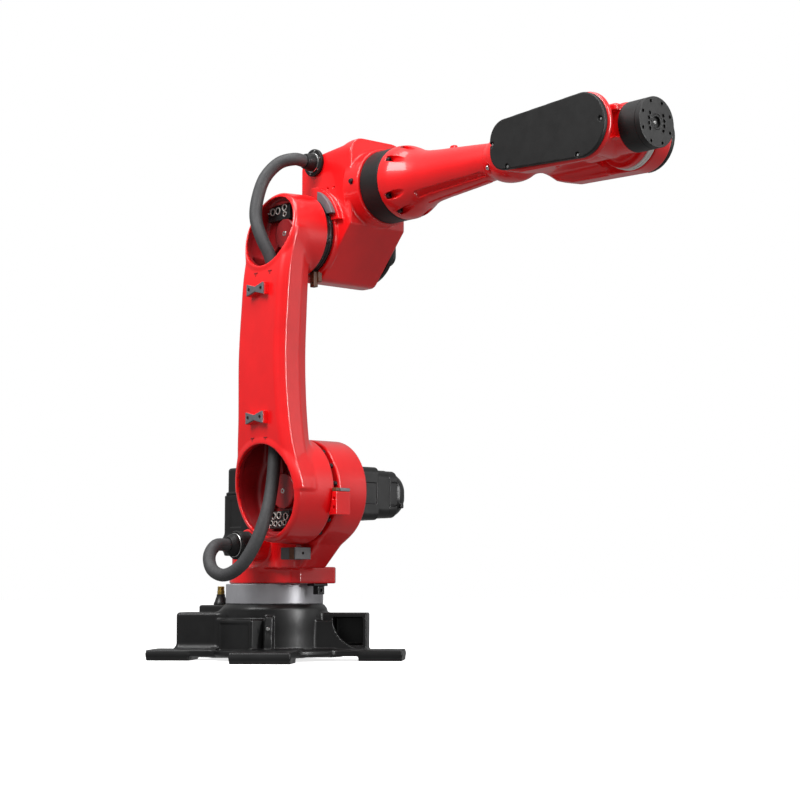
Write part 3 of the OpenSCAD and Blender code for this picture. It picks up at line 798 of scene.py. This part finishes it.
def plate(name, lo, hi, holes, replaces):
    def f(x, y, z):
        d = box(x, y, z, lo, hi, 2)
        for a, b, r in holes:
            d = rs(d, cy(x, y, z, a, b, r * 0.72, lo[1] - 6, lo[1] + 7, 0.5), 0.6)
        return d
    cast(name, f, [c - 4 for c in lo], [c + 4 for c in hi], 1.7, STEEL_BLACK, "lower_arm", replaces)
    b = Bag()
    # steel rings drawn in the pale seal colour: a painted highlight that keeps them bright inside the shaded opening
    for a, c, r in holes:
        b.lathe((a, lo[1] + 0.4, c), (0, -1, 0), [(0, 0.80 * r), (0, 0.98 * r), (2.4, 0.98 * r), (3.2, 0.94 * r), (3.2, 0.85 * r), (2.4, 0.80 * r), (0, 0.80 * r)], 28)
    b.done(name + "_rings", PALE_SEAL_AND_PAINTED_HIGHLIGHT, "lower_arm")
    b = Bag()
    for a, c, r in holes:
        b.lathe((a, lo[1] + 6.5, c), (0, -1, 0), [(0, 0), (0, 0.5 * r), (4.5, 0.5 * r), (5.2, 0.4 * r), (5.2, 0)], 16)
    b.done(name + "_plugs", PLASTIC, "lower_arm")


plate("lower_cable_plate_skin", (198, -178, 331), (276, -164.2, 375), BIG, ("lower_cable_plate",))
plate("upper_cable_plate_skin", (183, -178, 1104), (272, -164.2, 1146), TOP, ("upper_cable_plate",))

# ---------------------------------------------------------------- elbow
ELBOW = soft([(204, EZ - 20, 0), (204, EZ + 188, 14), (228, EZ + 204, 30), (362, EZ + 222, 16), (376, EZ + 238, 6), (400, EZ + 238, 4),
              (400, EZ + 16, 8), (284, EZ - 115, 24), (240, EZ - 115, 0)])


def f_elbow(x, y, z):
    r = hyp(x - SX, z - EZ)
    o = np.minimum(poly(x, z, ELBOW), np.maximum(r - 115, x - SX))
    d = ri(o, span(y, -89, 92), 5)
    d = ri(d, rrect(y - 1.5, z - (EZ + 238 - 300), 181, 600, 46), 4)
    d = ru(d, cx(x, y, z, 0, FZ, 97, 380, 438, 2.5), 4)
    d = ru(d, cy(x, y, z, SX, EZ, 103, -96.5, -80, 1.5), 3)
    arc = ri(ri(r - 126, span(y, -101.5, -80), 2), (EZ + 30) - z, 2)
    arc = ri(arc, (SX + 8) - x, 2)
    d = ru(d, arc, 3)
    d = rs(d, cy(x, y, z, 310, 1186, 3.2, -100, -80, 0.3), 0.5)
    d = rs(d, cy(x, y, z, 334, 1185, 3.2, -100, -80, 0.3), 0.5)
    d = rs(d, cy(x, y, z, 214, 1120, 3.2, -100, -80, 0.3), 0.5)
    return d


cast("elbow_skin", f_elbow, (126, -108, 944), (444, 98, 1312), 3.4, RED, "elbow", ("elbow_housing",))


def f_j3ring(x, y, z):
    r = hyp(x - SX, z - EZ)
    d = ri(r - 97, span(y, -118.5, -97), 1.2)
    d = rs(d, ri(np.abs(r - 98) - 3, span(y, -110, -107), 0.5), 0.5)
    d = rs(d, ri(np.abs(r - 98) - 2, span(y, -101, -99.5), 0.4), 0.4)
    return rs(d, r - 40, 2)


cast("j3_reducer_ring_skin", f_j3ring, (148, -121, 966), (352, -94, 1170), 2.7, STEEL_BLACK, "lower_arm", ("j3_reducer_ring",))

bag = Bag()
for k in range(14):
    t = 2 * math.pi * (k + 0.3) / 14
    bag.screw((SX + 95.5 * math.cos(t), -114.2, EZ + 95.5 * math.sin(t)), (math.cos(t), 0, math.sin(t)), 3.4, 3.6, 14)
bag.done("elbow_ring_screws", STEEL_BLACK, "lower_arm")


def f_j3stop(x, y, z):
    r = hyp(x - SX, z - EZ)
    d = ri(ri(r - 119, 98 - r, 1.5), span(y, -114, -101.2), 1.5)
    d = ri(d, (SX + 50) - x, 1.2)
    return ri(d, (EZ + 46) - z, 1.2)


cast("j3_stop_block_skin", f_j3stop, (296, -117, 1110), (374, -98, 1184), 1.6, GREY, "elbow", ("j3_stop_block",))


def f_j3motor(x, y, z):
    u, v = x - SX, z - EZ
    d = cy(x, y, z, SX, EZ, 102, 92.2, 104, 2)
    for k in range(8):
        t = 2 * math.pi * (k + 0.5) / 8
        d = rs(d, cy(x, y, z, SX + 90 * math.cos(t), EZ + 90 * math.sin(t), 6, 99, 110, 0.5), 0.8)
    return ru(d, ri(rrect(u, v, 112, 112, 18), span(y, 100, 129.6), 2.5), 2)


cast("j3_motor_skin", f_j3motor, (134, 89, 952), (366, 133, 1184), 2.8, MOTOR, "elbow", ("j3_motor",))


def f_j3cap(x, y, z):
    u, v = x - SX, z - EZ
    d = ri(rrect(u, v, 102, 102, 26), span(y, 130, 153.5), 10)
    return ru(d, ri(rrect(u, v, 108, 108, 20), span(y, 129.8, 136), 1.5), 2)


cast("j3_motor_cap_skin", f_j3cap, (192, 126, 1010), (308, 157, 1126), 2.6, MOTOR, "elbow", ("j3_motor_cap",))


def f_rear(x, y, z):
    d = box(x, y, z, (198.6, -64, EZ + 112), (204.4, 64, EZ + 182), 1.6)
    return rs(d, box(x, y, z, (190, -50, EZ + 124), (200.2, 50, EZ + 170), 2), 0.8)


cast("elbow_rear_cover_skin", f_rear, (195, -68, EZ + 108), (208, 68, EZ + 186), 2.0, RED, "elbow", ("elbow_rear_cover",))

bag = Bag()
for yy in (-57, 0, 57):
    for zz in (EZ + 118, EZ + 176):
        bag.screw((198.8, yy, zz), (-1, 0, 0), 3.6, 3.0, 16)
for k in range(8):
    t = 2 * math.pi * (k + 0.5) / 8
    bag.screw((SX + 90 * math.cos(t), 98.8, EZ + 90 * math.sin(t)), (0, 1, 0), 5.0, 4.4, 18)
bag.done("elbow_screws", STEEL_BLACK, "elbow")

bag = Bag()
bag.lathe((401.5, -82, 1197), (0.75, -0.66, 0), [(0, 0), (0, 7), (4, 7), (4, 5), (9, 5), (10, 4), (10, 0)], 18)
bag.lathe((414, -93, 1186), (0.2, -0.98, 0), [(0, 0), (0, 7.5), (5, 7.5), (5, 5.5), (10, 5.5), (11, 4.5), (11, 0)], 18)
bag.done("elbow_fittings", STEEL_BLACK, "elbow")


def f_tab(x, y, z):
    d = box(x, y, z, (268, -110, 937), (284, -96, 976), 1.5)
    d = ru(d, box(x, y, z, (262, -100, 950), (290, -88, 976), 1.5), 2)
    return rs(d, cy(x, y, z, 276, 947, 4, -120, -80, 0.4), 0.6)


cast("elbow_tab", f_tab, (258, -113, 933), (294, -85, 980), 1.5, BROWN, "elbow")

bag = Bag()
bag.lathe((260, -89.2, EZ + 191), (0, -1, 0), [(0, 0), (0, 35), (6, 35), (7.4, 33.6), (7.4, 0)], 56)
bag.lathe((260, -99, EZ + 191), (0, -1, 0), [(0, 0), (0, 23), (6, 23), (22, 19.4), (24.5, 18.4), (24.5, 0)], 48)
bag.done("upper_gland_skin", PLASTIC, "elbow", replaces=("upper_gland",))
bag = Bag()
bag.lathe((260, -96.5, EZ + 191), (0, -1, 0), [(0, 0), (0, 25.4), (2, 25.4), (2.6, 24.8), (2.6, 0)], 56)
for k in range(6):
    t = 2 * math.pi * (k + 0.25) / 6
    bag.screw((260 + 29.5 * math.cos(t), -96.4, EZ + 191 + 29.5 * math.sin(t)), (0, -1, 0), 2.4, 1.8, 14)
bag.done("upper_gland_ring_skin", STEEL, "elbow", replaces=("upper_gland_ring",))

# ---------------------------------------------------------------- forearm
bag = Bag()
bag.lathe((438.4, 0, FZ), (1, 0, 0), [(0, 0), (0, 89.4), (1.6, 91), (61, 91), (62, 90.2), (63, 91), (64.4, 91), (65.6, 89.6), (65.6, 0)], 112)
bag.done("j4_band_skin", PLASTIC, "forearm", replaces=("j4_band",))

TUBE = [(500, 91), (520, 91), (534, 89), (552, 82.5), (575, 72.5), (600, 65.5), (633, 61), (700, 55), (770, 48.8), (825, 43.5), (850, 41)]
POCKETS = [32, 69, 111, 148, 212, 246, 294, 328]


def f_tube(x, y, z):
    r = hyp(y, z - FZ)
    d = ri((r - curve(x, TUBE)) * 0.94, span(x, 504.4, 830), 1.5)
    for a in POCKETS:
        c, s = math.cos(math.radians(a)), math.sin(math.radians(a))
        d = rs(d, cx(x, y, z, 83 * c, FZ + 83 * s, 9.5, 521, 620, 2), 1.2)
    lug = ri(cz(x, y, z, 683, 0, 9, FZ + 40, FZ + 63, 2), span(y, -7, 7), 1)
    d = ru(d, lug, 3)
    rib = box(x, y, z, (600, -8, FZ - 70), (810, 8, FZ - 38), 3)
    rib = ri(rib, (r - curve(x, TUBE) - 2.2) * 0.94, 1)
    d = ru(d, rib, 3)
    # long shallow recess low on each side
    low = (np.abs(np.arctan2(FZ - z, np.abs(y)) - math.radians(49)) - math.radians(9)) * r
    rec = ri(ri(low, span(x, 594, 816), 3), (curve(x, TUBE) - 6 - r) * 0.94, 1)
    return rs(d, rec, 1.2)


cast("forearm_tube_skin", f_tube, (500, -96, FZ - 96), (836, 96, FZ + 96), 3.0, RED, "forearm", ("forearm_tube",))

bag = Bag()
for a in POCKETS:
    c, s = math.cos(math.radians(a)), math.sin(math.radians(a))
    bag.screw((520.8, 82.5 * c, FZ + 82.5 * s), (1, 0, 0), 6.4, 8.5, 20)
bag.done("forearm_screws", STEEL_BLACK, "forearm")

ROOT = [(800, 40), (825, 43.5), (836, 48), (852, 54.5), (884, 60), (908, 58.5), (930, 52), (950, 42), (970, 30)]
FORK_XZ = soft([(898, FZ - 18, 10), (924, FZ - 35, 16), (950, FZ - 57, 20), (1000, FZ - 68.5, 40), (WX, FZ - 74.9, 0), (WX, FZ + 74.9, 0), (983, FZ + 65, 20), (935, FZ + 52, 40),
                (896, FZ + 30, 10)])
FORK_XY = soft([(872, -40, 0), (902, -82, 16), (932, -94, 12), (1300, -94, 0), (1300, 113, 0), (966, 113, 16), (930, 98, 20), (892, 52, 20)])


def f_fork(x, y, z):
    o = np.minimum(poly(x, z, FORK_XZ), hyp(x - WX, z - FZ) - 75)
    d = ri(o, poly(x, y, FORK_XY), 6)
    root = ri((hyp(y, z - FZ) - curve(x, ROOT)) * 0.92, span(x, 825.5, 966), 2)
    d = ru(d, root, 12)
    # hollow underside between the two cheeks, then the slot of the wrist
    d = rs(d, box(x, y, z, (915, -60, FZ - 160), (1130, 72, FZ - 42), 22), 8)
    d = rs(d, box(x, y, z, (1096, -82, FZ - 160), (1400, 69, FZ + 160), 8), 2)
    # seat for the screw at the root
    return rs(d, cy(x, y, z, 851, FZ - 26, 7.5, -90, -45, 1), 1.2)


cast("wrist_fork_skin", f_fork, (820, -100, FZ - 82), (1280, 119, FZ + 82), 3.0, RED, "forearm", ("wrist_fork",))

COVER = soft([(916, FZ - 56, 46), (WX, FZ - 71.9, 0), (WX, FZ + 71.9, 0), (916, FZ + 56, 46)], 10)
COVER_FAR = soft([(966, FZ - 50, 40), (WX, FZ - 71.9, 0), (WX, FZ + 71.9, 0), (966, FZ + 50, 40)], 10)
COVER_SCREWS = [(1258, 3), (1189, -64), (972, -53), (923.5, 5)]
FAR_SCREWS = [(1258, 3), (1189, -64), (1189, 64), (990, -46), (990, 46)]


def f_cover(sign, x, y, z):
    o = np.minimum(poly(x, z, COVER if sign < 0 else COVER_FAR), hyp(x - WX, z - FZ) - 72)
    s0, s1 = (-106, -94.2) if sign < 0 else (113.2, 125)
    d = ri(o, span(y, s0, s1), 3)
    for a, b in COVER_SCREWS if sign < 0 else FAR_SCREWS:
        out = (s0 - 4, s0 + 5) if sign < 0 else (s1 - 5, s1 + 4)
        d = rs(d, cy(x, y, z, a, FZ + b, 6, out[0], out[1], 0.5), 0.8)
    return d


cast("near_cover_skin", lambda x, y, z: f_cover(-1, x, y, z), (912, -110, FZ - 76), (1274, -90, FZ + 76), 2.9, PLASTIC, "forearm", ("near_cover",))
cast("far_cover_skin", lambda x, y, z: f_cover(1, x, y, z), (912, 109, FZ - 76), (1274, 129, FZ + 76), 2.9, PLASTIC, "forearm", ("far_cover",))

bag = Bag()
for a, b in COVER_SCREWS:
    bag.screw((a, -101.2, FZ + b), (0, -1, 0), 3.0, 2.6, 18)
for a, b in FAR_SCREWS:
    bag.screw((a, 120.2, FZ + b), (0, 1, 0), 3.0, 2.6, 18)
bag.screw((851, -46, FZ - 26), (0, -0.9, -0.43), 5.0, 6.0, 18)
bag.done("wrist_cover_screws", STEEL, "forearm")

# ---------------------------------------------------------------- wrist


def f_wrist(x, y, z):
    d = cy(x, y, z, WX, FZ, 73, 33, 47.8, 2)
    hub = cy(x, y, z, WX, FZ, 57, -77, 40, 4)
    neck = ru(cx(x, y, z, 0, FZ, 55.5, WX, 1261.5, 1.5), box(x, y, z, (WX - 6, -60, FZ - 32), (1261.5, 46, FZ + 46), 6), 4)
    neck = np.minimum(neck, ri(cx(x, y, z, 0, FZ, 55.5, 1090, WX, 1.5), hyp(x - WX, z - FZ) - 94, 4))
    d = ru(ru(d, hub, 6), neck, 3)
    return rs(d, box(x, y, z, (1228, -90, FZ - 28), (1290, -46, FZ + 30), 2), 2)


cast("wrist_body_skin", f_wrist, (1098, -81, FZ - 78), (1266, 52, FZ + 78), 2.2, RED, "wrist", ("wrist_body",))


def f_j5ring(x, y, z):
    r = hyp(x - WX, z - FZ)
    d = ri(r - 75, span(y, 48.2, 63.8), 1.5)
    d = rs(d, ri(np.abs(r - 76) - 2.4, span(y, 55, 57), 0.4), 0.4)
    return ri(d, x - 1261.6, 0.8)


cast("j5_ring_skin", f_j5ring, (1118, 45, FZ - 79), (1266, 67, FZ + 79), 2.2, PALE_SEAL_AND_PAINTED_HIGHLIGHT, "wrist", ("j5_ring",))

bag = Bag()
bag.lathe((1262, 0, FZ), (1, 0, 0), [(0, 0), (0, 54.8), (1.2, 56), (47.4, 56), (48, 55.5), (48, 0)], 96)
bag.done("j6_housing_skin", PLASTIC, "wrist", replaces=("j6_housing",))


def f_flange(x, y, z):
    v = z - FZ
    r = hyp(y, v)
    d = ri(r - 56, span(x, 1310.4, TX), 1.0)
    d = rs(d, cx(x, y, z, 0, FZ, 12.5, 1317, TX + 5, 0.5), 0.8)
    d = rs(d, ri(np.abs(r - 17) - 0.9, (TX - 1.2) - x, 0.2), 0.3)
    for k in range(8):
        t = 2 * math.pi * (k + 0.5) / 8
        d = rs(d, cx(x, y, z, 47 * math.sin(t), FZ + 47 * math.cos(t), 3.6, 1315, TX + 5, 0.3), 0.6)
    for i in (-1, 1):
        for k in range(4):
            d = rs(d, cx(x, y, z, i * (26 - 3.0 * abs(k - 1.5)), FZ + 11.5 * (k - 1.5), 3.9, 1317, TX + 5, 0.3), 0.6)
    return d


cast("tool_flange_skin", f_flange, (1307, -60, FZ - 60), (TX + 3, 60, FZ + 60), 1.6, PLASTIC, "tool_flange", ("tool_flange",))
bag = Bag()
bag.screw((1316.6, 0, FZ), (1, 0, 0), 3.8, 3.4, 20)
bag.done("tool_flange_screw", STEEL, "tool_flange")
bag = Bag()
for i in (-1, 1):
    for k in range(4):
        bag.screw((1316.6, i * (26 - 3.0 * abs(k - 1.5)), FZ + 11.5 * (k - 1.5)), (1, 0, 0), 3.0, 5.0, 14)
bag.done("tool_flange_small_screws", STEEL_BLACK, "tool_flange")

# ---------------------------------------------------------------- hose
LOWER = [(62, -206, 294), (66, -246, 292), (80, -276, 264), (114, -290, 230), (166, -290, 217), (216, -278, 240), (250, -262, 292), (266, -244, 354),
         (264, -226, 412), (258, -212, 480), (252, -204, 560), (250, -202, 660)]
UPPER = [(250, -202, 660), (250, -202, 780), (250, -203, 880), (252, -208, 950), (248, -220, 1004), (232, -236, 1054), (214, -240, 1104), (210, -232, 1156),
         (216, -214, 1210), (236, -186, 1248), (258, -154, 1260), (260, -124, 1259)]


def tube(route, radius, k, sides, lead_in, lead_out):
    p = [np.array(q, float) for q in route]
    p = [p[0] - np.array(lead_in, float)] + p + [p[-1] + np.array(lead_out, float)]
    q = []
    for i in range(1, len(p) - 2):
        a, b, c, d = p[i - 1], p[i], p[i + 1], p[i + 2]
        for j in range(k):
            t = j / k
            q.append(0.5 * (2 * b + (c - a) * t + (2 * a - 5 * b + 4 * c - d) * t * t + (3 * b - a - 3 * c + d) * t ** 3))
    q.append(p[-2])
    q = np.array(q)
    tan = np.gradient(q, axis=0)
    tan /= np.linalg.norm(tan, axis=1)[:, None]
    n = np.cross(tan[0], [0.3, 0.2, 1.0])
    v, f = [], []
    for i in range(len(q)):
        n = n - tan[i] * (n @ tan[i])
        n /= np.linalg.norm(n)
        b = np.cross(tan[i], n)
        for s in range(sides):
            t = 2 * math.pi * s / sides
            v.append(q[i] + radius * (math.cos(t) * n + math.sin(t) * b))
    m = len(q)
    for i in range(m - 1):
        for s in range(sides):
            s2 = (s + 1) % sides
            f.append([i * sides + s, i * sides + s2, (i + 1) * sides + s2, (i + 1) * sides + s])
    f.append([s for s in range(sides)][::-1])
    f.append([(m - 1) * sides + s for s in range(sides)])
    length = float(np.linalg.norm(np.diff(q, axis=0), axis=1).sum())
    return v, f, length


v, f, len_low = tube(LOWER, 16, 8, 28, (0, -30, 0), (0, 0, 60))
low = put("hose_lower_sleeve", v, f, HOSE, None, None, True, ("hose_lower",))
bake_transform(low)
v, f, len_up = tube(UPPER, 16, 8, 28, (0, 0, 60), (0, 30, 0))
upp = put("hose_upper_sleeve", v, f, HOSE, None, None, True, ("hose_upper", "hose_middle"))
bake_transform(upp)

# ---------------------------------------------------------------- floor, light and camera
fl = bpy.data.meshes.new("floor")
fl.from_pydata([(-60, -60, 0), (60, -60, 0), (60, 60, 0), (-60, 60, 0)], [], [(0, 1, 2, 3)])
floor = bpy.data.objects.new("floor", fl)
bpy.context.scene.collection.objects.link(floor)
FLOOR = material("pale_floor", (0.86, 0.86, 0.86), 0.8, spec=0.1, speck=0.01, scale=2.0, bump=0.0, rough_var=0.02)
FLOOR.node_tree.nodes["Principled BSDF"].inputs["Emission Color"].default_value = (1, 1, 1, 1)
FLOOR.node_tree.nodes["Principled BSDF"].inputs["Emission Strength"].default_value = 0.75
fl.materials.append(FLOOR)
floor.visible_diffuse = False
floor.visible_glossy = False

sc = bpy.context.scene
sc.view_settings.view_transform = "Standard"
world = bpy.data.worlds.new("studio")
sc.world = world
world.use_nodes = True
wn = world.node_tree
bg = wn.nodes["Background"]
wt = wn.nodes.new("ShaderNodeTexCoord")
ws = wn.nodes.new("ShaderNodeSeparateXYZ")
wm = wn.nodes.new("ShaderNodeMapRange")
wm.inputs["From Min"].default_value = -1.0
wm.inputs["From Max"].default_value = 1.0
wr = wn.nodes.new("ShaderNodeValToRGB")
wr.color_ramp.elements[0].position = 0.30
wr.color_ramp.elements[0].color = (0.32, 0.32, 0.32, 1)
wr.color_ramp.elements[1].position = 1.0
wr.color_ramp.elements[1].color = (0.62, 0.62, 0.62, 1)
mid_el = wr.color_ramp.elements.new(0.52)
mid_el.color = (0.26, 0.26, 0.26, 1)
wn.links.new(wt.outputs["Generated"], ws.inputs["Vector"])
wn.links.new(ws.outputs["Z"], wm.inputs["Value"])
wn.links.new(wm.outputs["Result"], wr.inputs["Fac"])
wn.links.new(wr.outputs["Color"], bg.inputs["Color"])
bg2 = wn.nodes.new("ShaderNodeBackground")
bg2.inputs["Color"].default_value = (1, 1, 1, 1)
wl = wn.nodes.new("ShaderNodeLightPath")
wx_ = wn.nodes.new("ShaderNodeMixShader")
wn.links.new(wl.outputs["Is Camera Ray"], wx_.inputs["Fac"])
wn.links.new(bg.outputs["Background"], wx_.inputs[1])
wn.links.new(bg2.outputs["Background"], wx_.inputs[2])
wn.links.new(wx_.outputs["Shader"], wn.nodes["World Output"].inputs["Surface"])


def area(name, at, look, w, h, power, colour=(1, 1, 1)):
    li = bpy.data.lights.new(name, "AREA")
    li.shape = "RECTANGLE"
    li.size, li.size_y = w, h
    li.energy = power
    li.color = colour
    o = bpy.data.objects.new(name, li)
    o.location = at
    o.rotation_mode = "QUATERNION"
    o.rotation_quaternion = (Vector(look) - Vector(at)).to_track_quat("-Z", "Y")
    sc.collection.objects.link(o)
    return o


area("key", (0.2, -3.9, 4.3), (0.4, 0, 0.9), 2.4, 2.4, 235)
area("top", (0.6, -0.6, 4.6), (0.5, 0, 0.8), 2.2, 2.2, 90)
strip = area("front_strip", (4.4, 0.95, 1.5), (0.3, -0.1, 0.8), 0.8, 2.6, 200)
strip.visible_diffuse = False
area("front_fill", (4.2, -1.1, 3.9), (0.3, 0, 0.8), 1.8, 1.8, 125)
area("side_panel", (2.9, 4.0, 1.3), (0.3, -0.2, 0.8), 2.4, 2.4, 15)

camd = bpy.data.cameras.new("camera")
cam = bpy.data.objects.new("camera", camd)
sc.collection.objects.link(cam)
sc.camera = cam
camd.sensor_width = 36.0
camd.sensor_fit = "HORIZONTAL"
camd.lens = 36.0 * 1922.84 / 800.0
camd.clip_start, camd.clip_end = 0.05, 300
az, yaw, pit = math.radians(52.43), math.radians(3.63), math.radians(5.83)
fw = Vector((-math.sin(az), math.cos(az), 0))
rt = Vector((math.cos(az), math.sin(az), 0))
fw2 = fw * math.cos(yaw) + rt * math.sin(yaw)
rt2 = rt * math.cos(yaw) - fw * math.sin(yaw)
fw3 = fw2 * math.cos(pit) + Vector((0, 0, 1)) * math.sin(pit)
up3 = Vector((0, 0, 1)) * math.cos(pit) - fw2 * math.sin(pit)
rot = Matrix((rt2, up3, -fw3)).transposed()
cam.matrix_world = Matrix.Translation(Vector((5.06 * math.sin(az), -5.06 * math.cos(az), 0.165))) @ rot.to_4x4()
